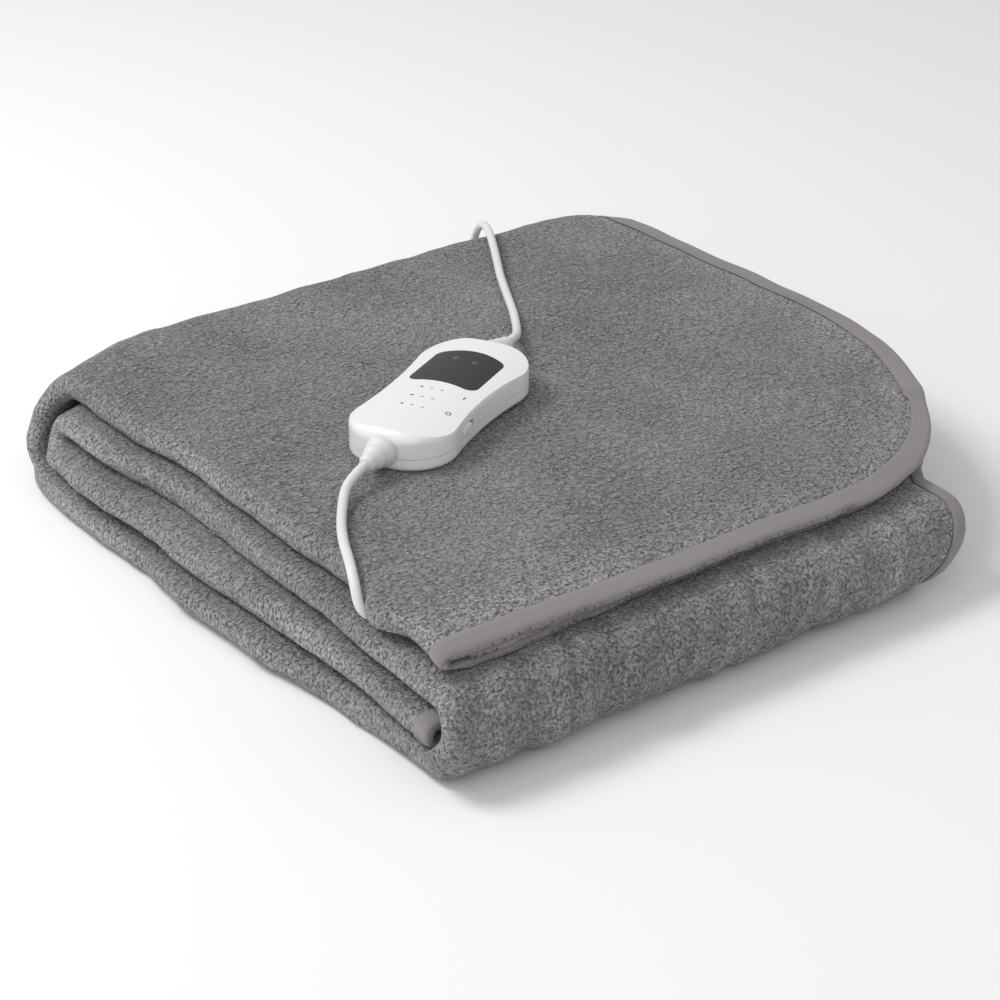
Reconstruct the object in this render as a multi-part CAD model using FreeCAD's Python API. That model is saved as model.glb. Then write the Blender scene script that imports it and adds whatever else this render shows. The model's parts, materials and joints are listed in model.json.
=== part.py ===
"""Heated fleece throw, folded for storage, with its hand controller and leads.

Row frame: millimetres, +X along the front fold, +Y towards the back fold, +Z up.
The origin is under the middle of the folded stack, on the surface that it lies on.

The throw is two fleece panels sewn back to back, with a heating wire between them and
a knitted tape bound round the edge. Its width is folded in three like a letter, and
the strip is then wound flat: the top flap, the back fold, the bottom layer, the front
fold, a second layer, an inner back fold and a third layer, whose end lies inside.
Each layer lies a little further left than the one above it, so the stack leans.
"""
import FreeCAD, Part
import math
import os
from FreeCAD import Placement, Rotation, Vector

os.makedirs("parts", exist_ok=True)

X, Y, Z = Vector(1, 0, 0), Vector(0, 1, 0), Vector(0, 0, 1)

# ---------------------------------------------------------------- driving dimensions
# Folded throw
stack_depth = 473.0        # front fold to back fold
fold_width = 424.0         # top flap, from its side fold to its bound edge
fleece = 1.9               # one fleece panel, as it lies pressed in the stack
wire_space = 1.5           # between the two panels, where the wire runs
ply_gap = 0.3              # between two plies of one strip
layer_gap = 0.5            # between two layers of the stack
lean = 0.735               # how far a layer lies to the right, for each mm of height
flap_setback = 29.0        # from the front fold's face to the flap's front edge
inner_fold_gap = 8.0       # inner back fold short of the outer one
inner_end_gap = 3.0        # strip's inner end short of the front fold
under_ply_inset = 8.0      # right-hand side fold short of the outer ply's edge
middle_ply_inset = 9.0     # middle ply's free edge from the start of the left-hand fold

# Edge tape
tape = 1.0                 # thickness
tape_width = 15.0
tape_clearance = 0.05      # between the tape and what it wraps
corner_radius = 150.0      # of the flap's front right corner

# Heating wire
wire_radius = 0.7
wire_places = (140.0, -30.0)               # its runs across each ply
wire_turn_inset = 130.0    # turns of the wire from the strip's ends
wire_bend = 20.0           # radius where it turns towards a side fold

# Controller (u along its length, v across, w up from its base)
body_length = 138.0
body_height = 23.0
display_half_width = 37.5  # at the ends of the sides, before the corners are rounded
lower_half_width = 34.5
waist_half_width = 28.8
end_bulge = 9.0
body_corner = 26.0
crown_radius = 105.0
crown_rise = -0.2          # crown's ridge above the flat top that it trims
top_round = 7.0
base_round = 3.5
wall = 2.0
parting = 8.0              # top of the bottom shell
parting_groove = 0.3
lip = 1.4                  # bottom shell's lip stands this much above the parting
controller_turn = 28.0     # degrees from the front fold
controller_place = Vector(-58, -5, 0)
rest_gap = 0.3
window_back, window_front = -1.0, 47.0
window_half_width = 21.5
window_curve = 6.0
window_corner = 6.0
lens = 1.4
lens_gap = 0.1
lens_seat = 1.6
board_length, board_half_width, board_thickness = 102.0, 23.0, 1.6
board_level = 8.0
button_places = (-8.0, -20.0, -32.0)
button_length, button_height = 8.0, 4.0
button_level = 12.0
button_proud = 1.2
button_travel = 1.0
slider_place = -26.0       # its middle at OFF
slider_length, slider_height = 9.0, 4.0
slider_travel = 6.0
slider_proud = 1.4
moving_gap = 0.3
relief_level = 11.5
lower_relief, upper_relief = 19.0, 21.0
relief_radius = 9.0
relief_ribs = 3

# Leads
cord = 5.4
coil_middle, coil_bundle = 54.0, 16.2
coil_place = Vector(95, 266, 8.4)

# ---------------------------------------------------------------- derived sizes
ply = 2 * fleece + wire_space
ply_pitch = ply + ply_gap
strip = 2 * ply_pitch + ply
layer_pitch = strip + layer_gap
level_bottom = strip / 2
level_third = level_bottom + layer_pitch
level_second = level_third + layer_pitch
level_top = level_second + layer_pitch
stack_height = level_top + strip / 2
back_radius = (level_top - level_bottom) / 2
front_radius = (level_second - level_bottom) / 2
inner_radius = (level_second - level_third) / 2

back_y = stack_depth / 2 - strip / 2 - back_radius
front_y = -stack_depth / 2 + strip / 2 + front_radius
inner_y = back_y - inner_fold_gap
flap_y = -stack_depth / 2 + flap_setback
end_y = front_y + inner_end_gap

stack_width = fold_width + lean * (level_top - level_bottom)
right_x = (stack_width + lean * ply_pitch) / 2     # bound edge of the top flap
left_x = right_x - fold_width                # side fold of the top flap
pressed = ply / 2 - tape - tape_clearance    # half the ply's thickness in the tape
covered = tape + tape_clearance              # what the tape takes from the edge
corner_x = right_x - corner_radius
corner_y = flap_y + corner_radius


def save(name, shape):
    shape.exportStep("parts/" + name + ".step")
    print(name, "valid" if shape.isValid() else "INVALID", round(shape.Volume), len(shape.Solids))


def box(low, high):
    size = high - low
    return Part.makeBox(size.x, size.y, size.z, low)


def joined(first, *others):
    return first.fuse(list(others)).removeSplitter()


# ---------------------------------------------------------------- the folded throw
class Layer:
    """One straight layer of the strip: its level, and which way its outside faces."""

    def __init__(self, level, up, front, back):
        self.level, self.up, self.front, self.back = level, up, front, back
        self.shift = lean * (level - level_top)

    def z(self, n):
        """Height of a surface that lies `n` outside the strip's middle."""
        return self.level + self.up * n

    def outer_edge(self, inset):
        """X of the outer ply's bound edge, less `inset`."""
        return right_x + self.shift + lean * (self.up - 1) * ply_pitch - inset

    def middle_edge(self, inset):
        """X of the middle ply's free edge, plus `inset`."""
        return left_x + self.shift + strip / 2 + middle_ply_inset + inset

    def left_bend(self):
        return left_x + self.shift + strip / 2

    def right_bend(self):
        return right_x + self.shift - lean * 2 * ply_pitch - under_ply_inset - ply_pitch


top = Layer(level_top, 1, flap_y, back_y)
second = Layer(level_second, 1, front_y, inner_y)
third = Layer(level_third, -1, end_y, inner_y)
bottom = Layer(level_bottom, -1, front_y, back_y)
layers = (top, second, third, bottom)


def side_curve(layer, offset, inset):
    """Edges of the letter fold's curve across a layer, `offset` outside mid ply.

    It runs from the outer ply's bound edge round both side folds to the middle ply's
    free edge, and stops `inset` short of each.
    """
    p, r = ply_pitch, ply_pitch / 2
    lb, rb = layer.left_bend(), layer.right_bend()

    def at(x, n):
        return Vector(x, 0, layer.z(n))

    a, b = at(layer.outer_edge(inset), p + offset), at(lb, p + offset)
    c, d = at(lb, -p - offset), at(rb, -p - offset)
    e, f = at(rb, offset), at(layer.middle_edge(inset), offset)
    left, right = at(lb - p - offset, 0), at(rb + r + offset, -r)
    return [
        Part.LineSegment(a, b).toShape(), Part.Arc(b, left, c).toShape(),
        Part.LineSegment(c, d).toShape(), Part.Arc(d, right, e).toShape(),
        Part.LineSegment(e, f).toShape(),
    ]


def edge_points(layer, side, path):
    """Points of the section near a bound edge, from (inset, offset) pairs."""
    if side == "outer":
        return [Vector(layer.outer_edge(i), 0, layer.z(ply_pitch + d)) for i, d in path]
    return [Vector(layer.middle_edge(i), 0, layer.z(d)) for i, d in path]


def band(layer, low, high, inset, lip=None):
    """Face across a layer, between two offsets of the letter fold's curve.

    It stops `inset` short of both bound edges. With `lip`, two other offsets, a
    thinner stretch goes on from there into the tape.
    """
    edges = side_curve(layer, low, inset) + side_curve(layer, high, inset)
    path = [(inset, low), (inset, high)]
    if lip:
        path = [(inset, low), (inset, lip[0]), (covered, lip[0]),
                (covered, lip[1]), (inset, lip[1]), (inset, high)]
    for side in ("outer", "middle"):
        edges += Part.makePolygon(edge_points(layer, side, path)).Edges
    return Part.Face(Part.Wire(Part.__sortEdges__(edges)))


def edge_wrap(layer, side):
    """U-shaped section of the tape round a long bound edge."""
    h, t, w = ply / 2, tape, tape_width
    path = [(0, -h), (w, -h), (w, t - h), (t, t - h), (t, h - t), (w, h - t), (w, h),
            (0, h), (0, -h)]
    return Part.Face(Part.makePolygon(edge_points(layer, side, path)))


def along(face, start, stop):
    """A section face, drawn out along Y."""
    return face.translated(Y * start).extrude(Y * (stop - start))


def fold_shell(fold, n, low, high):
    """Half ring of one ply round a fold: `n` is the ply's place, and `low` and `high`
    are offsets from its middle."""
    centre, radius, sign = fold
    ring = Part.makeCylinder(radius + n + high, 2 * stack_width, Vector(-stack_width, 0, 0), X)
    ring = ring.cut(Part.makeCylinder(radius + n + low, 2 * stack_width, Vector(-stack_width, 0, 0), X))
    reach = 2 * (radius + strip)
    near = box(Vector(-stack_width, 0, -reach), Vector(stack_width, sign * reach, reach)) if sign > 0 else \
        box(Vector(-stack_width, -reach, -reach), Vector(stack_width, 0, reach))
    return ring.common(near).translated(centre)


def lean_prism(left, right):
    """Everything between two planes that lean with the stack. `left` and `right` are
    their places in the top layer."""
    low, high = -stack_height, 2 * stack_height
    reach = stack_depth

    def at(x, z):
        return Vector(x + lean * (z - level_top), -reach, z)

    corners = [at(left, low), at(right, low), at(right, high), at(left, high), at(left, low)]
    return Part.Face(Part.makePolygon(corners)).extrude(Y * 2 * reach)


back_fold = (Vector(0, back_y, (level_top + level_bottom) / 2), back_radius, 1)
front_fold = (Vector(0, front_y, (level_second + level_bottom) / 2), front_radius, -1)
inner_fold = (Vector(0, inner_y, (level_second + level_third) / 2), inner_radius, 1)
folds = (back_fold, front_fold, inner_fold)

# The three plies where the strip bends: place outside mid strip, and the two planes
# that bound them, as places in the top layer.
outer_edge_plane = right_x - lean * ply_pitch
right_fold_plane = outer_edge_plane - under_ply_inset
middle_edge_plane = left_x + strip / 2 + middle_ply_inset


def corner_zone():
    """The square at the flap's front right corner, through the whole top layer."""
    low = Vector(corner_x, flap_y - tape_width, level_top - strip / 2 - layer_gap / 2)
    return box(low, Vector(right_x + tape_width, corner_y, stack_height + tape_width))


def round_corner(shape, radius):
    """Trims the flap's corner to an arc of this radius about the corner's centre."""
    column = Part.makeCylinder(radius, 3 * strip, Vector(corner_x, corner_y, level_top - strip))
    return shape.cut(corner_zone().cut(column))


def corner_ring(path):
    """A section at the flap's bound edge, carried round its corner."""
    face = Part.Face(Part.makePolygon(edge_points(top, "outer", path)))
    return face.translated(Y * corner_y).revolve(Vector(corner_x, corner_y, 0), Z, -90)


def panel(side):
    """One fleece panel: `side` is 1 for the face, outside the folds, and -1 for the back."""
    near, far = sorted((side * wire_space / 2, side * ply / 2))
    skin, flat = sorted((side * tape_clearance, side * pressed))
    pieces = []
    for layer in layers:
        start = layer.front + (tape_width if layer in (top, third) else 0)
        section = band(layer, near, far, tape_width, (skin, flat))
        straight = along(section, start, layer.back)
        pieces.append(round_corner(straight, corner_radius - tape_width) if layer is top else straight)
    for fold in folds:
        for n, left, right in ((ply_pitch, left_x, outer_edge_plane),
                               (-ply_pitch, left_x, right_fold_plane),
                               (0, middle_edge_plane, right_fold_plane)):
            sense = -1 if n < 0 else 1
            thick = sorted((sense * near, sense * far))
            thin = sorted((sense * skin, sense * flat))
            whole = fold_shell(fold, n, *thick)
            inset_left = tape_width if n == 0 else 0
            inset_right = tape_width if n > 0 else 0
            pieces.append(whole.common(lean_prism(left + inset_left, right - inset_right)))
            if n == 0:
                slim = fold_shell(fold, n, *thin)
                pieces.append(slim.common(lean_prism(left + covered, left + tape_width)))
            if n > 0:
                slim = fold_shell(fold, n, *thin)
                pieces.append(slim.common(lean_prism(right - tape_width, right - covered)))
    for layer in (top, third):
        ends = along(band(layer, skin, flat, covered), layer.front + covered, layer.front + tape_width)
        pieces.append(ends.cut(corner_zone()) if layer is top else ends)
    pieces.append(corner_ring([(covered, skin), (tape_width, skin), (tape_width, flat),
                               (covered, flat), (covered, skin)]))
    return joined(*pieces)


def edge_tape():
    """The knitted tape round all four edges of the throw, folded with it."""
    half = ply / 2
    pieces = []
    for layer in layers:
        start = layer.front + (tape_width if layer in (top, third) else 0)
        for side in ("outer", "middle"):
            straight = along(edge_wrap(layer, side), start, layer.back)
            pieces.append(straight.cut(corner_zone()) if layer is top else straight)
    for fold in folds:
        for n, low, high, hollow_low, hollow_high in (
                (ply_pitch, outer_edge_plane - tape_width, outer_edge_plane,
                 outer_edge_plane - tape_width, outer_edge_plane - tape),
                (0, middle_edge_plane, middle_edge_plane + tape_width,
                 middle_edge_plane + tape, middle_edge_plane + tape_width)):
            outside = fold_shell(fold, n, -half, half).common(lean_prism(low, high))
            inside = fold_shell(fold, n, tape - half, half - tape)
            pieces.append(outside.cut(inside.common(lean_prism(hollow_low, hollow_high))))
    for layer in (top, third):
        shell = along(band(layer, -half, half, 0), layer.front, layer.front + tape_width)
        core = along(band(layer, tape - half, half - tape, tape), layer.front + tape,
                     layer.front + tape_width)
        end = shell.cut(core)
        pieces.append(end.cut(corner_zone()) if layer is top else end)
    h, t, w = half, tape, tape_width
    pieces.append(corner_ring([(0, -h), (w, -h), (w, t - h), (t, t - h), (t, h - t), (w, h - t),
                               (w, h), (0, h), (0, -h)]))
    return joined(*pieces)



# ---------------------------------------------------------------- heating wire
def wire_run(n, x):
    """One run of the wire through all layers, in a plane that leans with the stack.

    `n` is its ply's place in the strip and `x` its place in the top layer.
    """
    def at(y, z):
        return Vector(x + lean * (z - level_top), y, z)

    def bend(fold):
        centre, radius, sign = fold
        middle = at(centre.y, centre.z)
        reach = radius + n
        ellipse = Part.Ellipse(at(centre.y, centre.z + reach), middle + Y * sign * reach, middle)
        return Part.ArcOfEllipse(ellipse, 0, math.pi).toShape()

    def straight(layer, start, stop):
        return Part.LineSegment(at(start, layer.z(n)), at(stop, layer.z(n))).toShape()

    return [straight(top, flap_y + wire_turn_inset, back_y), bend(back_fold),
            straight(bottom, back_y, front_y), bend(front_fold),
            straight(second, front_y, inner_y), bend(inner_fold),
            straight(third, inner_y, end_y + wire_turn_inset)]


def wire_turn(n, x, after, layer, end):
    """Half circle that joins two runs of one ply at the strip's end."""
    z = layer.z(n)
    shift = lean * (z - level_top)
    middle = (x + after) / 2
    tip = Vector(middle + shift, end - abs(x - after) / 2, z)
    return Part.Arc(Vector(x + shift, end, z), tip, Vector(after + shift, end, z)).toShape()


def wire_crossing(n, after, x, fold_x, side):
    """Joins a run of one ply to a run of the next, round a side fold."""
    end, r = flap_y + wire_turn_inset, wire_bend
    edges, tips = [], []
    for place in (n, after):
        z = top.z(place)
        near = x + lean * (z - level_top)
        start, stop = Vector(near, end, z), Vector(near + side * r, end - r, z)
        slope = r * math.sqrt(0.5)
        middle = Vector(near + side * (r - slope), end - slope, z)
        tip = Vector(fold_x, end - r, z)
        edges += [Part.Arc(start, middle, stop).toShape(), Part.LineSegment(stop, tip).toShape()]
        tips.append(tip)
    bulge = Vector(fold_x + side * abs(n - after) / 2, end - r, (tips[0].z + tips[1].z) / 2)
    edges.append(Part.Arc(tips[0], bulge, tips[1]).toShape())
    return edges


def heating_wire():
    """One wire, up and down the strip in each ply and round both side folds.

    Its section is six-sided, which keeps so long a wire light.
    """
    edges = []
    for n in (ply_pitch, -ply_pitch, 0):
        for place in wire_places:
            edges += wire_run(n, place)
        for i, (x, after) in enumerate(zip(wire_places, wire_places[1:])):
            layer, end = (third, end_y) if i % 2 == 0 else (top, flap_y)
            edges.append(wire_turn(n, x, after, layer, end + wire_turn_inset))
    edges += wire_crossing(ply_pitch, -ply_pitch, wire_places[-1], top.left_bend(), -1)
    edges += wire_crossing(-ply_pitch, 0, wire_places[0], top.right_bend(), 1)
    path = Part.Wire(Part.__sortEdges__(edges))
    start = path.OrderedVertexes[0].Point
    corners = [start + Vector(math.cos(k * math.pi / 3), 0, math.sin(k * math.pi / 3)) * wire_radius
               for k in range(7)]
    return path.makePipeShell([Part.makePolygon(corners)], True, False)


# ---------------------------------------------------------------- controller
def place(shape):
    """From the controller's own axes to the row frame."""
    level = Vector(0, 0, stack_height + rest_gap)
    return shape.transformed(Placement(controller_place + level, Rotation(Z, controller_turn)).toMatrix())


def half_width(u):
    """Half width of the controller's flank at `u`: an arc through three points."""
    middle = (display_half_width + lower_half_width) / 2
    slope = (display_half_width - lower_half_width) / body_length
    sag = middle - waist_half_width
    return middle + slope * u - sag * (1 - (2 * u / body_length) ** 2)


def pebble(inset):
    """The controller's outer form, less `inset` all over."""
    end = body_length / 2 - end_bulge - inset
    tip = body_length / 2 - inset
    low, high = lower_half_width - inset, display_half_width - inset
    waist = waist_half_width - inset
    sides = [
        Part.Arc(Vector(-end, -low, 0), Vector(0, -waist, 0), Vector(end, -high, 0)),
        Part.Arc(Vector(end, -high, 0), Vector(tip, 0, 0), Vector(end, high, 0)),
        Part.Arc(Vector(end, high, 0), Vector(0, waist, 0), Vector(-end, low, 0)),
        Part.Arc(Vector(-end, low, 0), Vector(-tip, 0, 0), Vector(-end, -low, 0)),
    ]
    sharp = Part.Face(Part.Wire([s.toShape() for s in sides]))
    rounded = sharp.makeOffset2D(inset - body_corner).makeOffset2D(body_corner - inset)
    block = rounded.translated(Z * inset).extrude(Z * (body_height - 2 * inset))
    rim = [e for e in block.Edges if e.BoundBox.ZMin > body_height / 2]
    block = block.makeFillet(top_round - inset, rim)
    foot = [e for e in block.Edges if e.BoundBox.ZMax < inset + 0.01]
    block = block.makeFillet(base_round - inset, foot)
    crown = Part.makeCylinder(crown_radius - inset, 2 * body_length,
                              Vector(-body_length, 0, body_height + crown_rise - crown_radius), X)
    return block.common(crown.rotated(Vector(0, 0, body_height + crown_rise - crown_radius), X, 180))


def slab_between(low, high):
    reach = body_length
    return box(Vector(-reach, -reach, low), Vector(reach, reach, high))


def pill(length, height, low, high, u, level):
    """A bar with round ends, standing across the flank from v = low to high."""
    r = height / 2
    straight = box(Vector(u - length / 2 + r, low, level - r), Vector(u + length / 2 - r, high, level + r))
    ends = [Part.makeCylinder(r, high - low, Vector(u + s * (length / 2 - r), low, level), Y)
            for s in (-1, 1)]
    return joined(straight, *ends)


def window_prism(inset):
    """Upright prism of the display window, its long edges curved like a visor."""
    back, front = window_back + inset, window_front - window_curve - inset
    half = window_half_width - inset
    edges = [
        Part.LineSegment(Vector(back, -half, 0), Vector(front, -half, 0)).toShape(),
        Part.Arc(Vector(front, -half, 0), Vector(front + window_curve, 0, 0),
                 Vector(front, half, 0)).toShape(),
        Part.LineSegment(Vector(front, half, 0), Vector(back, half, 0)).toShape(),
        Part.Arc(Vector(back, half, 0), Vector(back + window_curve / 2, 0, 0),
                 Vector(back, -half, 0)).toShape(),
    ]
    prism = Part.Face(Part.Wire(edges)).extrude(Z * 2 * body_height)
    upright = [e for e in prism.Edges if abs(e.BoundBox.ZLength - 2 * body_height) < 0.01]
    return prism.makeFillet(window_corner - inset, upright)


outer_form = pebble(0)
inner_form = pebble(wall)
hollow = outer_form.cut(inner_form)
lip_out = wall / 2
button_wall = {u: half_width(u) for u in button_places}
slider_wall = half_width(slider_place)
boss_places = [(u, s * v) for u, v in ((-47, 17), (52, 17.5)) for s in (-1, 1)]
boss_radius, screw_radius, head_radius, head_depth = 3.6, 1.3, 2.5, 2.2
boss_level = 9.0


def relief_hole(sign):
    """Bore in an end wall for a strain relief's neck."""
    return Part.makeCylinder(relief_neck + 0.1, 14, Vector(sign * (body_length / 2 - 9), 0, relief_level),
                             X * sign)


relief_neck = 5.0


def top_shell():
    shell = hollow.common(slab_between(parting, 2 * body_height))
    inside_lip = pebble(lip_out - 0.05).common(slab_between(0, parting + lip))
    shell = shell.cut(inside_lip)
    shell = shell.cut(outer_form.cut(pebble(lens + 0.05)).common(window_prism(0)))
    shell = shell.cut(window_prism(lens_seat).common(slab_between(body_height / 2, 2 * body_height)))
    for u in button_places:
        hole = pill(button_length + 2 * moving_gap, button_height + 2 * moving_gap,
                    button_wall[u] - 2 * wall, button_wall[u] + wall, u, button_level)
        shell = shell.cut(hole)
    slot = box(Vector(slider_place - slider_length / 2 - moving_gap, -slider_wall - wall,
                      button_level - slider_height / 2 - moving_gap),
               Vector(slider_place + slider_length / 2 + slider_travel + moving_gap,
                      -slider_wall + 2 * wall, button_level + slider_height / 2 + moving_gap))
    shell = shell.cut(slot)
    bosses = []
    for u, v in boss_places:
        boss = Part.makeCylinder(boss_radius, body_height, Vector(u, v, boss_level))
        bosses.append(boss.common(inner_form).cut(
            Part.makeCylinder(screw_radius - 0.1, 8, Vector(u, v, boss_level))))
    shell = shell.fuse(bosses)
    return shell.cut(relief_hole(1)).cut(relief_hole(-1))


def bottom_shell():
    shell = hollow.common(slab_between(0, parting - parting_groove))
    rim = pebble(lip_out).cut(inner_form).common(slab_between(parting - 2, parting + lip))
    shell = joined(shell, rim)
    bosses = [Part.makeCylinder(boss_radius, boss_level - base_round, Vector(u, v, base_round))
              for u, v in boss_places]
    feet = [Part.makeCylinder(boss_radius, base_round, Vector(u, v, 0.6)) for u, v in boss_places]
    posts = [Part.makeCylinder(2.5, board_level - 1, Vector(u, v, 1))
             for u in (-38, 40) for v in (-18, 18)]
    shell = shell.fuse([b.common(slab_between(wall / 2, boss_level)) for b in bosses + feet] + posts)
    for u, v in boss_places:
        shell = shell.cut(Part.makeCylinder(screw_radius + 0.1, boss_level + 1, Vector(u, v, -0.5)))
        shell = shell.cut(Part.makeCylinder(head_radius + 0.2, head_depth + 0.5, Vector(u, v, -0.5)))
    return shell.cut(relief_hole(1)).cut(relief_hole(-1))


def screws():
    made = []
    for u, v in boss_places:
        shank = Part.makeCylinder(screw_radius - 0.1, 12, Vector(u, v, head_depth - 0.5))
        head = Part.makeCylinder(head_radius, head_depth - 0.5, Vector(u, v, 0.4))
        cross = box(Vector(u - 1.5, v - 0.3, 0), Vector(u + 1.5, v + 0.3, 1.2))
        other = box(Vector(u - 0.3, v - 1.5, 0), Vector(u + 0.3, v + 1.5, 1.2))
        made.append(joined(head, shank).cut(cross).cut(other))
    return Part.makeCompound(made)


def display_window():
    skin = outer_form.cut(pebble(lens))
    return skin.common(window_prism(lens_gap)).common(slab_between(body_height / 2, 2 * body_height))


def circuit_board():
    low = Vector(-board_length / 2 + 2, -board_half_width, board_level)
    high = Vector(board_length / 2 + 2, board_half_width, board_level + board_thickness)
    board = box(low, high)
    for u, v in boss_places:
        board = board.cut(Part.makeCylinder(boss_radius + 0.5, 20, Vector(u, v, 0)))
    return board


board_top = board_level + board_thickness


def display_module():
    frame = box(Vector(window_back + 6, -16, board_top), Vector(window_front - 6, 16, 17.8))
    glass = box(Vector(window_back + 8, -14, 17.0), Vector(window_front - 8, 14, 17.9))
    return frame.cut(glass)


def display_glass():
    return box(Vector(window_back + 8.1, -13.9, 17.0), Vector(window_front - 8.1, 13.9, 17.7))


def side_button(u):
    out = button_wall[u]
    cap = pill(button_length, button_height, out - wall - 1.0, out + button_proud, u, button_level)
    outer_edges = [e for e in cap.Edges if e.BoundBox.YMin > out + button_proud - 0.01]
    cap = cap.makeChamfer(0.5, outer_edges)
    flange = box(Vector(u - button_length / 2 - 1, out - wall - 1.9, button_level - 2.6),
                 Vector(u + button_length / 2 + 1, out - wall - 1.0, button_level + 2.6))
    return joined(cap, flange)


def tact_switches():
    made = []
    for u in button_places:
        back = board_half_width - 4
        face = button_wall[u] - wall - 1.9 - button_travel - 0.3
        body = box(Vector(u - 3, back, board_top), Vector(u + 3, face - 0.6, button_level + 2.2))
        plunger = Part.makeCylinder(1.2, 0.6, Vector(u, face - 0.6, button_level), Y)
        made.append(joined(body, plunger))
    return Part.makeCompound(made)


def power_slider():
    knob = box(Vector(slider_place - slider_length / 2, -slider_wall - slider_proud,
                      button_level - slider_height / 2),
               Vector(slider_place + slider_length / 2, -slider_wall + wall + 0.8,
                      button_level + slider_height / 2))
    outer_edges = [e for e in knob.Edges if e.BoundBox.YMax < -slider_wall - slider_proud + 0.01]
    knob = knob.makeFillet(0.5, outer_edges)
    for i in range(5):
        u = slider_place + (i - 2) * 1.6
        groove = box(Vector(u - 0.3, -slider_wall - slider_proud - 1, 0),
                     Vector(u + 0.3, -slider_wall - slider_proud + 0.5, body_height))
        knob = knob.cut(groove)
    flange = box(Vector(slider_place - slider_length / 2 - 1.2, -slider_wall + wall + 0.4,
                        button_level - slider_height / 2 - 0.7),
                 Vector(slider_place + slider_length / 2 + 1.2, -slider_wall + wall + 1.3,
                        button_level + slider_height / 2 + 0.7))
    fork = box(Vector(slider_place - 2.6, -slider_wall + wall + 1.3, button_level - 1.5),
               Vector(slider_place + 2.6, -slider_wall + wall + 3.0, button_level + 1.5))
    slit = box(Vector(slider_place - 1.1, -slider_wall + wall + 1.3, 0),
               Vector(slider_place + 1.1, -slider_wall + wall + 4, body_height))
    return joined(knob, flange, fork.cut(slit))


switch_face = -slider_wall + wall + 3.5


def slide_switch():
    middle = slider_place + slider_travel / 2
    body = box(Vector(middle - 8, switch_face, board_top), Vector(middle + 8, switch_face + 6, 15))
    slot = box(Vector(middle - 4.5, switch_face, button_level - 1.2),
               Vector(middle + 4.5, switch_face + 3, button_level + 1.2))
    return body.cut(slot)


def switch_lever():
    return box(Vector(slider_place - 0.8, -slider_wall + wall + 1.6, button_level - 0.9),
               Vector(slider_place + 0.8, switch_face + 2.5, button_level + 0.9))


def transformer():
    core = box(Vector(-46, -10, board_top), Vector(-32, 8, board_top + 7))
    coil = Part.makeCylinder(5, 10, Vector(-39, -6, board_top + 5.2), Y)
    return joined(core.common(slab_between(0, 16)), coil.common(slab_between(board_top, 17)))


def capacitor():
    return Part.makeCylinder(4.5, 7, Vector(-24, 6, board_top))


def triac():
    body = box(Vector(-30, -12, board_top), Vector(-20, -7.5, board_top + 7))
    tab = box(Vector(-30, -7.5, board_top), Vector(-20, -6.2, board_top + 8.5))
    return joined(body, tab)


def fuse():
    return Part.makeCylinder(2.6, 18, Vector(-16, -4, board_top + 2.6), X)


def strain_relief(sign, length):
    """Moulded bush with two ribs. It narrows to the lead and is anchored in the end wall."""
    face = body_length / 2 + 0.3
    grip = body_length / 2 - wall - 0.5
    r, tip = relief_radius, cord / 2 + 0.8
    pitch = length / relief_ribs
    outline = [Vector(grip - 2, 0, 0), Vector(grip - 2, 0, relief_neck + 1.6),
               Vector(grip, 0, relief_neck + 1.6), Vector(grip, 0, relief_neck),
               Vector(face, 0, relief_neck), Vector(face, 0, r)]
    edges = Part.makePolygon(outline).Edges
    ribs = [outline[-1]]
    for i in range(relief_ribs):
        level = r + (tip - r) * (i + 1) / relief_ribs
        swell = level + (r - tip) / relief_ribs * 0.75
        ribs += [Vector(face + (i + 0.55) * pitch, 0, swell), Vector(face + (i + 1) * pitch, 0, level)]
    edges += Part.makePolygon(ribs + [Vector(ribs[-1].x, 0, 0), outline[0]]).Edges
    bush = Part.Face(Part.Wire(edges)).revolve(Vector(0, 0, 0), X, 360)
    bush = bush.translated(Z * relief_level)
    return bush if sign > 0 else bush.rotated(Vector(0, 0, 0), Z, 180)


def cord_clamp(sign):
    """Bar inside the end wall that holds the cord's end."""
    u = sign * (body_length / 2 - wall - 9)
    block = box(Vector(u - 3, -7, wall), Vector(u + 3, 7, board_level - 0.5 + 6))
    return block.common(inner_form)


# ---------------------------------------------------------------- leads
def tube_along(name, points, radius):
    """Tube along straight runs joined by tangent arcs. Prints the arcs' radii."""
    edges, start, radii = [], points[0], []
    for before, at, after in zip(points, points[1:], points[2:]):
        a, b = (before - at), (after - at)
        turn = math.pi - a.getAngle(b)
        cut = 0.45 * min(a.Length, b.Length)
        r = cut / math.tan(turn / 2)
        first, last = at + a.normalize() * cut, at + b.normalize() * cut
        bisector = (a + b).normalize()
        centre = at + bisector * (r / math.cos(turn / 2))
        middle = centre - bisector * r
        edges += [Part.LineSegment(start, first).toShape(), Part.Arc(first, middle, last).toShape()]
        start = last
        radii.append(round(r, 1))
    edges.append(Part.LineSegment(start, points[-1]).toShape())
    path = Part.Wire(edges)
    section = Part.Wire(Part.makeCircle(radius, points[0], points[1] - points[0]))
    tube = path.makePipeShell([section], True, False)
    print(name, "radii", radii, "length", round(path.Length), "volume ratio",
          round(tube.Volume / (math.pi * radius ** 2 * path.Length), 3))
    return tube


def on_controller(u, v, w):
    turn = math.radians(controller_turn)
    return controller_place + Vector(u * math.cos(turn) - v * math.sin(turn),
                                     u * math.sin(turn) + v * math.cos(turn),
                                     stack_height + rest_gap + w)


lower_tip = on_controller(-body_length / 2 - 0.3 - lower_relief, 0, relief_level)
upper_tip = on_controller(body_length / 2 + 0.3 + upper_relief, 0, relief_level)
pocket_y, pocket_z = -139.5, 50.75
connector_start = Vector(-180, pocket_y, pocket_z)

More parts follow.
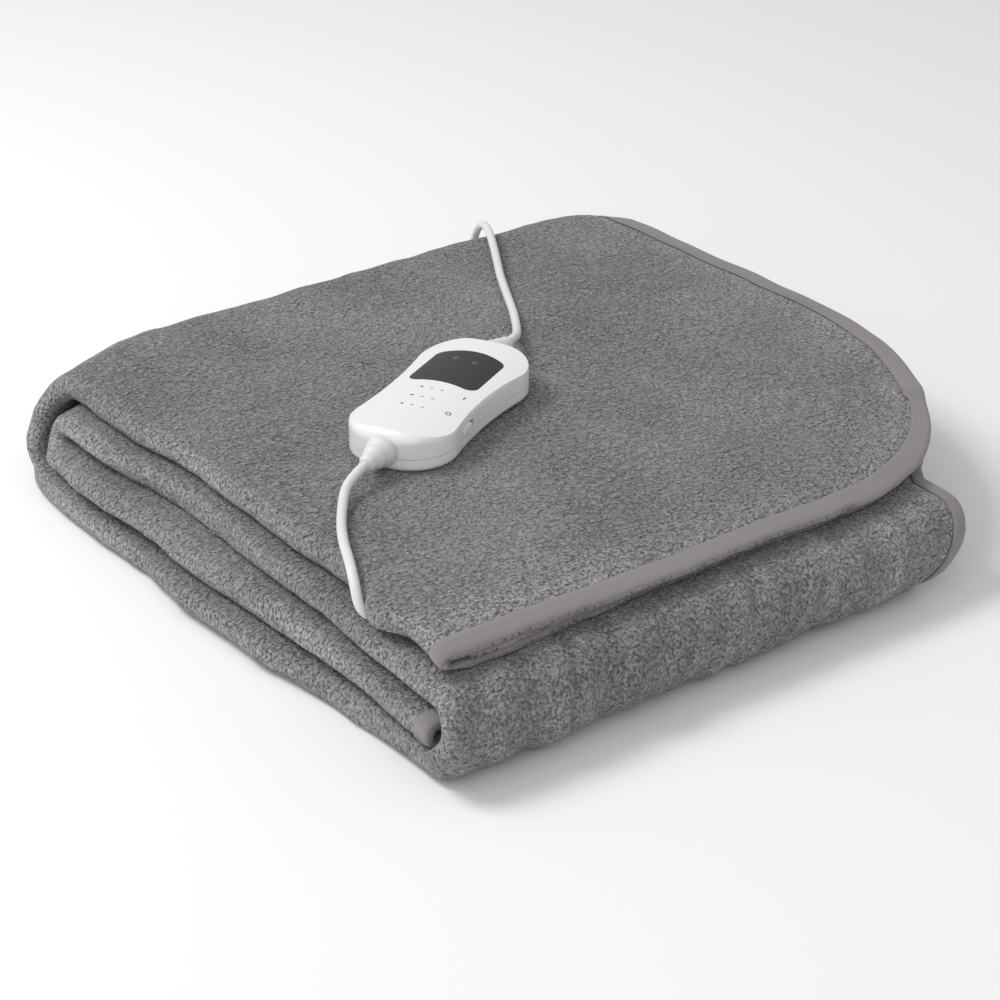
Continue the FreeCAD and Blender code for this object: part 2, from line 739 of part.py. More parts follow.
blanket_route = [
    lower_tip, on_controller(-body_length / 2 - lower_relief - 8, 0, relief_level),
    Vector(-153, -53.5, 74.6), Vector(-162.5, -65.5, 71.4), Vector(-173, -81, 70.9),
    Vector(-183.5, -100, 71.2), Vector(-194, -119.5, 69.8), Vector(-201.5, -131.5, 62.5),
    connector_start + Vector(-24, 0.4, 0.1), connector_start,
]

mains_route = [
    upper_tip, on_controller(body_length / 2 + upper_relief + 8, 0, relief_level),
    Vector(38, 50.5, 74.8), Vector(49, 65, 71.4), Vector(62, 85, 70.9),
    Vector(76, 111, 71.0), Vector(92, 140, 70.8), Vector(107, 164, 71.0),
    Vector(121, 187, 70.9), Vector(133, 208, 72.0), Vector(140, 224, 70.5),
    Vector(144, 237, 61.0), Vector(145.5, 243.5, 47.0), Vector(145, 245.5, 33.0),
    Vector(141.5, 247, 19.5), Vector(135, 251.5, 11.0), Vector(129.3, 260, 8.8),
    coil_place + X * (coil_middle / 2 + cord) + Y * 4,
]


def connector_body():
    body = box(connector_start + Vector(0, -10, -4.2), connector_start + Vector(26, 10, 4.2))
    return body.makeFillet(3.0, [e for e in body.Edges if e.BoundBox.XLength > 20])


def blanket_socket():
    start = connector_start + Vector(26, 0, 0)
    body = box(start + Vector(0, -13, -4.4), start + Vector(36, 13, 4.4))
    body = body.makeFillet(3.0, [e for e in body.Edges if e.BoundBox.XLength > 20])
    for s in (-1, 0, 1):
        body = body.cut(Part.makeCylinder(1.3, 9, start + Vector(0, s * 5.5, 0), X))
    return body


def contact_pins():
    start = connector_start + Vector(26, 0, 0)
    return Part.makeCompound([Part.makeCylinder(1.2, 8, start + Vector(0, s * 5.5, 0), X)
                              for s in (-1, 0, 1)])


def pocket():
    """Room that the connector and the lead press into the fleece."""
    body = box(connector_start + Vector(-1, -13.4, -4.7), connector_start + Vector(62.5, 13.4, 4.7))
    neck = box(connector_start + Vector(-30, -3.4, -3.1), connector_start + Vector(0, 3.4, 3.1))
    return body.fuse(neck)


def mains_coil():
    """Outer shape of the wound lead: a ring whose square section has bevelled corners."""
    half, bevel = coil_bundle / 2, cord / 2
    turn = [(half, bevel - half), (half, half - bevel), (half - bevel, half), (bevel - half, half),
            (-half, half - bevel), (-half, bevel - half), (bevel - half, -half), (half - bevel, -half),
            (half, bevel - half)]
    section = Part.makePolygon([Vector(coil_middle / 2 + r, 0, z) for r, z in turn])
    return Part.Face(section).revolve(Vector(0, 0, 0), Z, 360).translated(coil_place)


def coil_tie():
    """Strap round the coil's far side."""
    half = coil_bundle / 2
    strap = box(Vector(-6, -half - 1.9, -half - 0.3), Vector(6, half + 1.9, half + 0.8))
    hole = box(Vector(-7, -half - 1.2, -half), Vector(7, half + 1.2, half + 0.1))
    return strap.cut(hole).translated(coil_place + Y * coil_middle / 2)


plug_level = 8.4
plug_back = Vector(28, 247.3, plug_level)
plug_length, plug_half_width, plug_half_height = 30.0, 12.0, 8.0
plug_relief_length = 20.0


tail_route = [
    Vector(63.7, 274.4, plug_level), Vector(61.1, 264.7, plug_level), Vector(55.5, 256.4, plug_level),
    Vector(47.5, 250.4, plug_level), Vector(38, 247.3, plug_level), plug_back,
]


def plug_body():
    low = plug_back - X * (plug_relief_length + plug_length)
    body = box(low + Vector(0, -plug_half_width, -plug_half_height),
               low + Vector(plug_length, plug_half_width, plug_half_height))
    return body.makeFillet(4.0, [e for e in body.Edges if e.BoundBox.XLength > 20])


def plug_relief():
    base = plug_back - X * plug_relief_length
    return Part.makeCone(6.0, cord / 2 + 0.8, plug_relief_length, base, X)


def plug_blade(side):
    low = plug_back - X * (plug_relief_length + plug_length + 17.9)
    blade = box(low + Vector(0, side * 6.35 - 0.76, -3.175), low + Vector(17.9, side * 6.35 + 0.76, 3.175))
    hole = Part.makeCylinder(1.6, 4, low + Vector(4, side * 6.35 - 2, 0), Y)
    return blade.cut(hole)


# ---------------------------------------------------------------- build
press = pocket()
save("face_fleece", panel(1).cut(press))
save("back_fleece", panel(-1).cut(press))
save("edge_tape", edge_tape())
save("heating_wire", heating_wire())
save("blanket_socket", blanket_socket())
save("lead_connector", connector_body())
save("contact_pins", contact_pins())
save("top_shell", place(top_shell()))
save("bottom_shell", place(bottom_shell()))
save("display_window", place(display_window()))
save("display_module", place(display_module()))
save("display_glass", place(display_glass()))
save("circuit_board", place(circuit_board()))
save("transformer", place(transformer()))
save("capacitor", place(capacitor()))
save("triac", place(triac()))
save("fuse", place(fuse()))
save("screws", place(screws()))
for i, u in enumerate(button_places):
    save("side_button_%d" % (i + 1), place(side_button(u)))
save("tact_switches", place(tact_switches()))
save("power_slider", place(power_slider()))
save("switch_lever", place(switch_lever()))
save("slide_switch", place(slide_switch()))
save("lower_relief", place(strain_relief(-1, lower_relief)))
save("upper_relief", place(strain_relief(1, upper_relief)))
save("lower_clamp", place(cord_clamp(-1)))
save("upper_clamp", place(cord_clamp(1)))
save("blanket_lead", tube_along("blanket_lead", blanket_route, cord / 2))
save("mains_lead", tube_along("mains_lead", mains_route, cord / 2))
save("mains_coil", mains_coil())
save("coil_tie", coil_tie())
save("mains_tail", tube_along("mains_tail", tail_route, cord / 2))
save("plug_relief", plug_relief())
save("plug_body", plug_body())
save("plug_blades", Part.makeCompound([plug_blade(-1), plug_blade(1)]))
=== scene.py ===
# %% [markdown]
# # A folded heated throw with its hand controller
# An electric throw is a big fleece sheet with a wire inside, a bound edge and a hand
# controller on two leads. Here it lies folded in a low stack. The soft pieces are made
# again below in that same frame. Sizes in the code are in millimetres, and `MM` turns
# them into metres.
# %% Load the frame
import bmesh
import bpy
import json
import math
from mathutils import Matrix, Vector, noise


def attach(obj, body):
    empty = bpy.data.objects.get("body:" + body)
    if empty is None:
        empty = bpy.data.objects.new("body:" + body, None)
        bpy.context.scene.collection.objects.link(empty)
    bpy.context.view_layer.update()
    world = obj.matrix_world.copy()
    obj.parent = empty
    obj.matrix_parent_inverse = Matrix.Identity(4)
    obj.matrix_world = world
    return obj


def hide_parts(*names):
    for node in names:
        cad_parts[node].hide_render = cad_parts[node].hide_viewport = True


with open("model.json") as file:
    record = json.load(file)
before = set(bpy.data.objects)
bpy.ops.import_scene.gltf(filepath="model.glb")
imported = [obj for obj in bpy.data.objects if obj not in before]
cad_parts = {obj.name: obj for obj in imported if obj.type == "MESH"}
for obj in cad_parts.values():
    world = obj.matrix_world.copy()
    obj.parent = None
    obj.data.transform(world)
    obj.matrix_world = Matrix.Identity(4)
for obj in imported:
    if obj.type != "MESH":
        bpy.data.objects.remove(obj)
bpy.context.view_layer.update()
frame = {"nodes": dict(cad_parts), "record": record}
MM = 0.001
print("nodes in the frame:", len(frame["nodes"]))

# %% [markdown]
# ## Camera
# Soft goods are best seen from well back with a long lens, so that the folds don't
# bulge. The camera looks down on the front left corner of the stack, where all the folds
# can be counted. A tracking constraint could aim it, but two plain
# angles are easier to read and to change.
# %% Camera
CAMERA_PLACE = (-0.7275, -0.9633, 0.6311)
LOOK_DOWN, LOOK_RIGHT = 27.74, 36.6        # degrees below level, and right of straight ahead
LENS, SENSOR = 82.8, 36.0


def make_camera():
    data = bpy.data.cameras.new("camera")
    data.lens = LENS
    data.sensor_width = SENSOR
    camera = bpy.data.objects.new("camera", data)
    bpy.context.scene.collection.objects.link(camera)
    camera.location = CAMERA_PLACE
    camera.rotation_euler = (math.radians(90 - LOOK_DOWN), 0, math.radians(-LOOK_RIGHT))
    bpy.context.scene.camera = camera


make_camera()
print("camera set, lens", LENS)

# %% [markdown]
# ## A short way to write node trees
# Every finish is a tree of shader nodes. Making and linking nodes one by one is long, so
# `Nodes` wraps it: each method adds one node, links it, and gives back its output.
# %% Node helper


class Nodes:
    """A material's node tree with one Principled shader."""

    def __init__(self, name, **values):
        self.material = bpy.data.materials.new(name)
        self.material.use_nodes = True
        self.tree = self.material.node_tree
        self.shader = self.tree.nodes["Principled BSDF"]
        for key, value in values.items():
            self.shader.inputs[key.replace("_", " ")].default_value = value

    def add(self, kind, **inputs):
        node = self.tree.nodes.new("ShaderNode" + kind)
        for key, value in inputs.items():
            node.inputs[key.replace("_", " ")].default_value = value
        return node

    def link(self, start, end):
        self.tree.links.new(start, end)

    def coordinates(self, scale=(1, 1, 1), kind="Object"):
        source = self.add("TexCoord")
        mapping = self.add("Mapping")
        mapping.inputs["Scale"].default_value = scale
        self.link(source.outputs[kind], mapping.inputs["Vector"])
        return mapping.outputs["Vector"]

    def noise(self, vector, scale, detail=2.0, roughness=0.5):
        node = self.add("TexNoise", Scale=scale, Detail=detail, Roughness=roughness)
        self.link(vector, node.inputs["Vector"])
        return node.outputs["Fac"]

    def ramp(self, value, low, high, start=0.0, end=1.0):
        node = self.add("ValToRGB")
        first, last = node.color_ramp.elements
        first.position, last.position = start, end
        first.color, last.color = (*low, 1), (*high, 1)
        self.link(value, node.inputs["Fac"])
        return node.outputs["Color"]

    def mix(self, a, b, factor):
        node = self.tree.nodes.new("ShaderNodeMix")
        node.data_type = "RGBA"
        node.inputs["Factor"].default_value = factor
        self.link(a, node.inputs["A"])
        self.link(b, node.inputs["B"])
        return node.outputs["Result"]

    def bump(self, height, strength, distance, before=None):
        node = self.add("Bump", Strength=strength, Distance=distance)
        self.link(height, node.inputs["Height"])
        if before:
            self.link(before, node.inputs["Normal"])
        return node.outputs["Normal"]


# %% [markdown]
# ## Fleece
# Brushed fleece is a mat of curly tufts about 3 mm across, with pale tips over a darker
# ground. Hair particles would show it best, but they are heavy and don't export. Here a
# Voronoi pattern, pushed about by a noise, gives the tufts, and a finer noise the fibres.
# The same patterns drive the relief. The mesh carries a value from 0 to 1 of painted
# light: where it is high the fleece colour is painted paler, as a highlight.
# %% Fleece material
TUFTS, FIBRES, SWIRL = 330.0, 620.0, 190.0     # pattern scales, in cells per metre
SWIRL_REACH = (0.006, 0.006, 0.006)


def tuft_pattern(m, place):
    """Distance from each tuft's middle, with the tufts' places stirred by a noise."""
    swirl = m.add("TexNoise", Scale=SWIRL, Detail=2.0)
    m.link(place, swirl.inputs["Vector"])
    stirred = m.add("VectorMath")
    stirred.operation = "MULTIPLY_ADD"
    stirred.inputs[1].default_value = SWIRL_REACH
    m.link(swirl.outputs["Color"], stirred.inputs[0])
    m.link(place, stirred.inputs[2])
    tufts = m.add("TexVoronoi", Scale=TUFTS, Randomness=1.0)
    m.link(stirred.outputs["Vector"], tufts.inputs["Vector"])
    return tufts.outputs["Distance"]


def fleece_material():
    m = Nodes("fleece", Roughness=0.95, Sheen_Weight=0.35, Sheen_Roughness=0.5,
              Specular_IOR_Level=0.1)
    place = m.coordinates()
    tufts = tuft_pattern(m, place)
    fibres = m.noise(place, FIBRES, 3.0, 0.65)
    tips = m.ramp(tufts, (0.50, 0.495, 0.475), (0.035, 0.035, 0.033), 0.12, 0.58)
    speckle = m.ramp(fibres, (0.015, 0.015, 0.014), (0.42, 0.415, 0.40), 0.42, 0.60)
    patches = m.ramp(m.noise(place, 12, 4.0, 0.62), (0.115, 0.114, 0.11), (0.32, 0.315, 0.30),
                     0.36, 0.66)
    lying = m.mix(m.mix(tips, speckle, 0.5), patches, 0.34)
    # painted highlight: a paler fleece colour, mixed in where the mesh's painted light value is high
    painted_highlight_tone = m.ramp(fibres, (0.13, 0.128, 0.122), (0.55, 0.54, 0.52), 0.40, 0.60)
    colour = m.mix(lying, painted_highlight_tone, 0.5)
    painted_light = m.add("Attribute")
    painted_light.attribute_name = "painted_light"
    m.link(painted_light.outputs["Fac"], colour.node.inputs["Factor"])
    m.link(colour, m.shader.inputs["Base Color"])
    lumps = m.bump(m.noise(place, 75, 3.0), 0.5, 0.005)
    curls = m.bump(tufts, 1.0, -0.0026, lumps)
    m.link(m.bump(fibres, 1.0, 0.0016, curls), m.shader.inputs["Normal"])
    return m.material


# %% [markdown]
# ## Edge tape
# The binding is a rib-knitted tape with fine ribs across its width. Its ribs must turn
# with it round the corners, so the pattern reads the tape's own UV map, which is laid
# out in millimetres along and across the tape. A wave texture gives the ribs.
# %% Tape material


def tape_material():
    m = Nodes("tape", Roughness=0.8, Sheen_Weight=0.25, Specular_IOR_Level=0.15)
    along = m.coordinates(kind="UV")
    wave = m.add("TexWave", Scale=0.25, Distortion=0.6, Detail=2.0)
    wave.inputs["Detail Scale"].default_value = 2.0
    m.link(along, wave.inputs["Vector"])
    ribs = wave.outputs["Fac"]
    place = m.coordinates()
    tone = m.ramp(ribs, (0.17, 0.152, 0.15), (0.37, 0.345, 0.34))
    cloud = m.ramp(m.noise(place, 30, 3.0), (0.21, 0.19, 0.188), (0.33, 0.305, 0.30))
    m.link(m.mix(tone, cloud, 0.4), m.shader.inputs["Base Color"])
    rib_relief = m.bump(ribs, 0.7, 0.0005)
    threads = m.bump(m.noise(place, 1400, 2.0), 0.4, 0.0003, rib_relief)
    m.link(threads, m.shader.inputs["Normal"])
    return m.material


# %% [markdown]
# ## Moulded plastic and metal
# A moulded shell is never one flat value: the mould leaves a fine grain, and the gloss
# changes a little from place to place. One function makes every plastic here from a
# colour, a roughness, a clear coat and a grain depth. The metal is the same idea, with a
# brushed grain drawn out along one direction.
# %% Plastic and metal


def plastic_material(name, colour, roughness, coat=0.0, grain=0.00003):
    m = Nodes(name, Roughness=roughness, Coat_Weight=coat, Coat_Roughness=0.12)
    place = m.coordinates()
    shade = [max(0.0, c - 0.02) for c in colour]
    m.link(m.ramp(m.noise(place, 18, 3.0), shade, colour), m.shader.inputs["Base Color"])
    gloss = m.add("MapRange")
    gloss.inputs["To Min"].default_value = roughness * 0.85
    gloss.inputs["To Max"].default_value = min(1.0, roughness * 1.25)
    m.link(m.noise(place, 60, 2.0), gloss.inputs["Value"])
    m.link(gloss.outputs["Result"], m.shader.inputs["Roughness"])
    m.link(m.bump(m.noise(place, 1800, 2.0), 0.3, grain), m.shader.inputs["Normal"])
    return m.material


def metal_material(name, colour, roughness):
    m = Nodes(name, Metallic=1.0, Roughness=roughness)
    place = m.coordinates((1, 1, 40))
    dull = [c * 0.85 for c in colour]
    m.link(m.ramp(m.noise(place, 90, 4.0), dull, colour), m.shader.inputs["Base Color"])
    m.link(m.bump(m.noise(place, 500, 2.0), 0.2, 0.00003), m.shader.inputs["Normal"])
    return m.material


# %% [markdown]
# ## All the finishes
# One finish for each material slot of the record, and two more for the printed marks,
# which count as dark plastic in the record. Glossy windows have almost no grain.
# %% Finishes
POLISHED = 0.000005                     # depth of a polished surface's grain

MATERIALS = {
    "fleece": fleece_material(),
    "tape": tape_material(),
    "shell": plastic_material("shell", (0.86, 0.86, 0.855), 0.30, 0.4),
    "white_plastic": plastic_material("white_plastic", (0.80, 0.80, 0.79), 0.45),
    "dark_plastic": plastic_material("dark_plastic", (0.035, 0.035, 0.038), 0.5),
    "window": plastic_material("window", (0.021, 0.0215, 0.023), 0.3, 0.0, POLISHED),
    "display": plastic_material("display", (0.03, 0.034, 0.04), 0.1, 0.5, POLISHED),
    "board": plastic_material("board", (0.03, 0.14, 0.06), 0.4),
    "glass": plastic_material("glass", (0.5, 0.52, 0.54), 0.1),
    "lead": plastic_material("lead", (0.74, 0.74, 0.73), 0.42, 0.0, 0.00006),
    "wire": plastic_material("wire", (0.6, 0.6, 0.58), 0.5),
    "aluminium": metal_material("aluminium", (0.75, 0.75, 0.77), 0.35),
    "steel": metal_material("steel", (0.6, 0.6, 0.62), 0.3),
    "brass": metal_material("brass", (0.85, 0.66, 0.35), 0.28),
    "ink": plastic_material("ink", (0.06, 0.06, 0.065), 0.5),
    "lamp": plastic_material("lamp", (0.2, 0.2, 0.21), 0.5),
}


def dress_nodes():
    """Every CAD node gets the material of its slot."""
    for part in frame["record"]["subparts"]:
        node = frame["nodes"][part["node"]]
        for slot in node.material_slots:
            slot.material = MATERIALS[part["material_slot"]]


dress_nodes()
print("materials:", len(MATERIALS))

# %% [markdown]
# ## Giving a new piece to the throw
# A finished mesh becomes an object at the origin, with smooth shading and one material.
# Normals are recalculated first, because spins and grids can leave some faces turned
# in.
# %% Finish a mesh


def add_piece(name, data, slot):
    data.materials.append(MATERIALS[slot])
    piece = bpy.data.objects.new(name, data)
    bpy.context.scene.collection.objects.link(piece)
    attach(piece, "throw")
    return piece


def finish_mesh(name, mesh, slot):
    bmesh.ops.recalc_face_normals(mesh, faces=mesh.faces)
    data = bpy.data.meshes.new(name)
    mesh.to_mesh(data)
    mesh.free()
    data.shade_smooth()
    print(name, "faces:", len(data.polygons))
    return add_piece(name, data, slot)


# %% [markdown]
# ## Where the leads run
# The controller lies turned on top of the stack, and `on_controller` gives a point by its
# place along, across and up from the controller's base. The blanket lead goes round the
# flap's side fold to its connector. The mains lead crosses the top, goes down behind the
# stack and ends in a coil. Each route follows its CAD solid within a few millimetres.
# %% Routes of the leads
TURN = math.radians(28)
AXIS = Vector((math.cos(TURN), math.sin(TURN), 0))
SIDE = Vector((-math.sin(TURN), math.cos(TURN), 0))
STACK_HEIGHT = 67.5
CONTROLLER = Vector((-58, -5, STACK_HEIGHT + 0.3))
RELIEF_LEVEL = 11.5


def on_controller(u, v, w):
    return CONTROLLER + AXIS * u + SIDE * v + Vector((0, 0, w))


LOWER_TIP = on_controller(-88.3, 0, RELIEF_LEVEL)
UPPER_TIP = on_controller(90.3, 0, RELIEF_LEVEL)

BLANKET_ROUTE = [
    LOWER_TIP, on_controller(-96, 0, RELIEF_LEVEL), (-153, -53.5, 74.6), (-163, -65.5, 71.4),
    (-174.5, -82, 70.9), (-184, -99, 71.0), (-191.5, -116, 70.4), (-197.5, -129, 66.5),
    (-200.5, -137.5, 57.0), (-195, -140.5, 51.2), (-180, -139.5, 50.75),
]

MAINS_ROUTE = [
    UPPER_TIP, on_controller(98, 0, RELIEF_LEVEL), (38, 50.5, 74.8), (49, 65, 71.4), (62, 85, 70.9),
    (76, 111, 71.0), (92, 140, 70.8), (107, 164, 71.0), (121, 187, 70.9), (133, 208, 72.0),
    (140, 224, 70.5), (144, 237, 61.0), (145.5, 243.5, 47.0), (145, 245.5, 33.0),
    (141.5, 247, 19.5), (135, 251.5, 11.0), (129.3, 260, 8.8),
]

TAIL_ROUTE = [(61.1, 264.7, 8.4), (55.5, 256.4, 8.4), (47.5, 250.4, 8.4), (38, 247.3, 8.4),
              (28, 247.3, 8.4)]
print("route points:", len(BLANKET_ROUTE), len(MAINS_ROUTE), len(TAIL_ROUTE))

# %% [markdown]
# ## The coil
# Spare lead is wound in a neat bundle three rows wide and three high. It is part of the
# same curve as the rest of the lead: sixteen points a turn, each turn in its own place in
# the bundle, with the last quarter of a turn easing over to the next place.
# %% Points of the coil
LEAD = 5.4
COIL = Vector((95, 266, 8.4))
COIL_RADIUS = 27.0
COIL_TURNS, TURN_STEPS = 8.46, 16
FIRST_ANGLE = 0.12                      # radians, where the lead comes in
ROWS = [(-1, 0, 1), (1, 0, -1), (-1, 0, 1)]


def bundle_places():
    """The bundle's nine places in winding order, from the one where the lead comes in."""
    places = [(i, j - 1) for j, row in enumerate(ROWS) for i in row]
    return [(1, 0)] + [place for place in places if place != (1, 0)]


def coil_route():
    places, points = bundle_places(), []
    for step in range(int(COIL_TURNS * TURN_STEPS) + 1):
        turn = step / TURN_STEPS
        at = min(int(turn), len(places) - 1)
        after = min(at + 1, len(places) - 1)
        ease = max(0.0, (turn - at - 0.75) * 4)
        i, j = (a + (b - a) * ease for a, b in zip(places[at], places[after]))
        radius = COIL_RADIUS + i * LEAD
        angle = 2 * math.pi * turn + FIRST_ANGLE
        points.append(COIL + Vector((math.cos(angle) * radius, math.sin(angle) * radius, j * LEAD)))
    return points


print("coil points:", len(coil_route()))


# %% [markdown]
# ## Leads
# A lead has one width and no corners, so it is a curve with a round bevel. The spline is
# NURBS: it passes near its points and not through them, which keeps the bends soft. Its
# order is set after its points are added, or Blender leaves it at straight runs.
# %% Leads


def lead_curve(name, route):
    data = bpy.data.curves.new(name, "CURVE")
    data.dimensions = "3D"
    data.bevel_depth = LEAD / 2 * MM
    data.bevel_resolution = 5
    data.use_fill_caps = True
    spline = data.splines.new("NURBS")
    spline.points.add(len(route) - 1)
    for point, place in zip(spline.points, route):
        point.co = (*(Vector(place) * MM), 1)
    spline.order_u = 3
    spline.use_endpoint_u = True
    spline.resolution_u = 6
    return add_piece(name, data, "lead")


blanket_lead = lead_curve("blanket_cord", BLANKET_ROUTE)
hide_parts("blanket_lead")
print("made", blanket_lead.name)

# %% [markdown]
# ## The coil's tie
# A strap round the bundle keeps the coil together. It starts as a four-sided tube without
# ends, its long edges are bevelled to the roundness of the leads inside, and Solidify
# gives it its thickness. It could be a curve with a flat bevel, but a tube turns the
# corners evenly. Where it passes under the bundle the floor presses it flat.
# %% Coil tie
TIE_HALF, TIE_WIDTH, TIE_THICK, TIE_ROUND = 8.15, 12.0, 1.0, 2.9
FLOOR_GAP = 0.05


def turn_mesh(mesh, degrees, axis):
    bmesh.ops.rotate(mesh, verts=mesh.verts, matrix=Matrix.Rotation(math.radians(degrees), 3, axis))


def make_coil_tie():
    mesh = bmesh.new()
    reach = TIE_HALF * math.sqrt(2)
    bmesh.ops.create_cone(mesh, segments=4, radius1=reach, radius2=reach, depth=TIE_WIDTH, cap_ends=False)
    corners = [e for e in mesh.edges if abs(e.verts[0].co.z - e.verts[1].co.z) > 1]
    bmesh.ops.bevel(mesh, geom=corners, offset=TIE_ROUND, segments=4, profile=0.5,
                    affect="EDGES", material=-1)
    turn_mesh(mesh, 45, "Z")
    turn_mesh(mesh, 90, "Y")
    bmesh.ops.solidify(mesh, geom=mesh.faces, thickness=-TIE_THICK)
    bmesh.ops.translate(mesh, verts=mesh.verts, vec=COIL - Vector((0, COIL_RADIUS, 0)))
    for vert in mesh.verts:
        vert.co.z = max(vert.co.z, FLOOR_GAP)
    bmesh.ops.scale(mesh, vec=(MM, MM, MM), verts=mesh.verts)
    return finish_mesh("tie_strap", mesh, "dark_plastic")


tie = make_coil_tie()
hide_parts("coil_tie")
mains_lead = lead_curve("mains_cord", MAINS_ROUTE + coil_route() + TAIL_ROUTE)
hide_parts("mains_lead", "mains_coil", "mains_tail")

# %% [markdown]
# ## A path of straight runs and arcs
# Folded cloth seen from its side is straight runs joined by half circles. A cloth
# simulation could fold a flat sheet, but four tight layers pressed on each other are hard
# to steer to a known shape. Here each fold's place is known, so it is drawn: `Path` joins
# the runs and arcs, and gives a point and its outside direction at any length along it.
# `stations` are the lengths where the mesh will have its rows.
# %% Path


class Path:
    """A plane curve of straight runs and arcs, measured from its start."""

    def __init__(self):
        self.pieces, self.length, self.stations = [], 0.0, [0.0]

    def line(self, start, end, normal, step):
        size = math.dist(start, end)
        self.pieces.append((self.length, size, "line", start, end, normal))
        self.extend(size, max(2, round(size / step)))

    def arc(self, centre, radius, start, end, count):
        size = abs(math.radians(end - start)) * radius
        self.pieces.append((self.length, size, "arc", centre, radius, (start, end)))
        self.extend(size, count)

    def extend(self, size, count):
        self.stations += [self.length + size * (i + 1) / count for i in range(count)]
        self.length += size

    def at(self, distance):
        distance = min(max(distance, 0.0), self.length)
        index = 0
        while index + 1 < len(self.pieces) and distance > self.pieces[index + 1][0]:
            index += 1
        begin, size, kind, a, b, c = self.pieces[index]
        part = (distance - begin) / size
        if kind == "line":
            return (a[0] + (b[0] - a[0]) * part, a[1] + (b[1] - a[1]) * part), c
        angle = math.radians(c[0] + (c[1] - c[0]) * part)
        outward = (math.cos(angle), math.sin(angle))
        return (a[0] + b * outward[0], a[1] + b * outward[1]), outward


# %% [markdown]
# ## The throw's two foldings
# First the throw is folded in three across its width, like a letter: outer ply, left
# fold, under ply, right fold, middle ply. That strip is then wound along its length: top
# flap, back fold, bottom layer, front fold, second layer, inner fold, third layer. `t`
# measures across the flat throw and `s` along it.
# %% Foldings
PLY, PITCH, STRIP, LAYER = 5.3, 5.6, 16.5, 17.0     # a ply, ply to ply, a strip, layer to layer
TOP, BOTTOM, SECOND, THIRD = [STRIP / 2 + LAYER * i for i in (3, 0, 2, 1)]
BACK_RADIUS, FRONT_RADIUS, INNER_RADIUS = LAYER * 1.5, LAYER, LAYER / 2
LEAN = 0.735                            # a layer lies this much to the right for its height
DEPTH = 473.0
RIGHT, LEFT = 232.8, -191.2
BACK_Y = DEPTH / 2 - STRIP / 2 - BACK_RADIUS
FRONT_Y = -DEPTH / 2 + STRIP / 2 + FRONT_RADIUS
INNER_Y, FLAP_Y, END_Y = BACK_Y - 8.0, -DEPTH / 2 + 29.0, FRONT_Y - 5.0
UNDER_INSET, MIDDLE_INSET = 10.0, 9.0


def winding():
    path = Path()
    path.line((FLAP_Y, TOP), (BACK_Y, TOP), (0, 1), 5.5)
    path.arc((BACK_Y, (TOP + BOTTOM) / 2), BACK_RADIUS, 90, -90, 14)
    path.line((BACK_Y, BOTTOM), (FRONT_Y, BOTTOM), (0, -1), 10)
    path.arc((FRONT_Y, (SECOND + BOTTOM) / 2), FRONT_RADIUS, -90, -270, 12)
    path.line((FRONT_Y, SECOND), (INNER_Y, SECOND), (0, 1), 9)
    path.arc((INNER_Y, (SECOND + THIRD) / 2), INNER_RADIUS, 90, -90, 8)
    path.line((INNER_Y, THIRD), (END_Y, THIRD), (0, -1), 10)
    return path


def letter():
    path = Path()
    left, right = LEFT + STRIP / 2, RIGHT - UNDER_INSET - PITCH
    path.line((RIGHT, PITCH), (left, PITCH), (0, 1), 3.6)
    path.arc((left, 0), PITCH, 90, 270, 10)
    path.line((left, -PITCH), (right, -PITCH), (0, -1), 10)
    path.arc((right, -PITCH / 2), PITCH / 2, -90, 90, 6)
    path.line((right, 0), (left + MIDDLE_INSET, 0), (0, 1), 12)
    return path


WINDING, LETTER = winding(), letter()
FRONT_BEND = WINDING.pieces[3][0] + WINDING.pieces[3][1] / 2
print("flat throw, mm:", round(LETTER.length), "by", round(WINDING.length))

# %% [markdown]
# ## How the sides of the stack lie
# Real cloth is never square. The flap's front right corner is cut round, and the layers
# under it lie further in towards the front. On the left each layer's fold wanders by its
# own amount: the flap flares at the front, bulges where the lead goes under it, and the
# bottom layer draws in. At the back the folds lie in from the full depth, most at the
# left. `smooth` gives an S-shaped step from 0 to 1, and `hump` a soft bump of 1.
# %% Sides of the stack
FLAP_WIDE, FLAP_DEEP = 162.0, 208.0
LOWER_WIDE, LOWER_DEEP, LOWER_LIMIT = 150.0, 185.0, 84.0
LEAD_UNDER_FLAP = -154.0                # where along the stack the lead goes under


def smooth(low, high, value):
    x = min(max((value - low) / (high - low), 0.0), 1.0)
    return x * x * (3 - 2 * x)


def hump(value, middle, width):
    return math.exp(-((value - middle) / width) ** 2)


def stir(x, y, z):
    """Smooth noise between about -1 and 1."""
    return noise.noise(Vector((x, y, z)))


def right_inset(y):
    """How far the lower layers' right-hand edge lies in from its furthest place."""
    share = min(max(FLAP_Y + LOWER_DEEP - y, 0.0) / LOWER_DEEP, 1.0)
    return min(LOWER_WIDE * (1 - math.sqrt(1 - share * share)), LOWER_LIMIT)


def left_wander(y, z):
    """How far the left folds lie to the right of the plain leaning stack."""
    on_flap, near_floor = smooth(52, 57, z), 1 - smooth(12, 24, z)
    on_third, on_second = (max(0.0, 1 - abs(z - level) / 12) for level in (THIRD, SECOND))
    flare = -(13 * smooth(-150, -215, y) + 15 * hump(y, LEAD_UNDER_FLAP, 16)) * on_flap
    corner = -7 * smooth(60, 165, y) * smooth(10, 45, z)
    belly = (17 - 17 * smooth(-215, 20, y)) * near_floor
    third = (3 - 10 * smooth(-140, 100, y)) * on_third
    second = 5 * math.sin((y + 60) / 62) * on_second
    ripple = 4.0 * stir(y * 0.014, z * 0.05, 1.5) + 1.0 * stir(y * 0.05, z * 0.1, 9)
    return flare + corner + belly + third + second + ripple


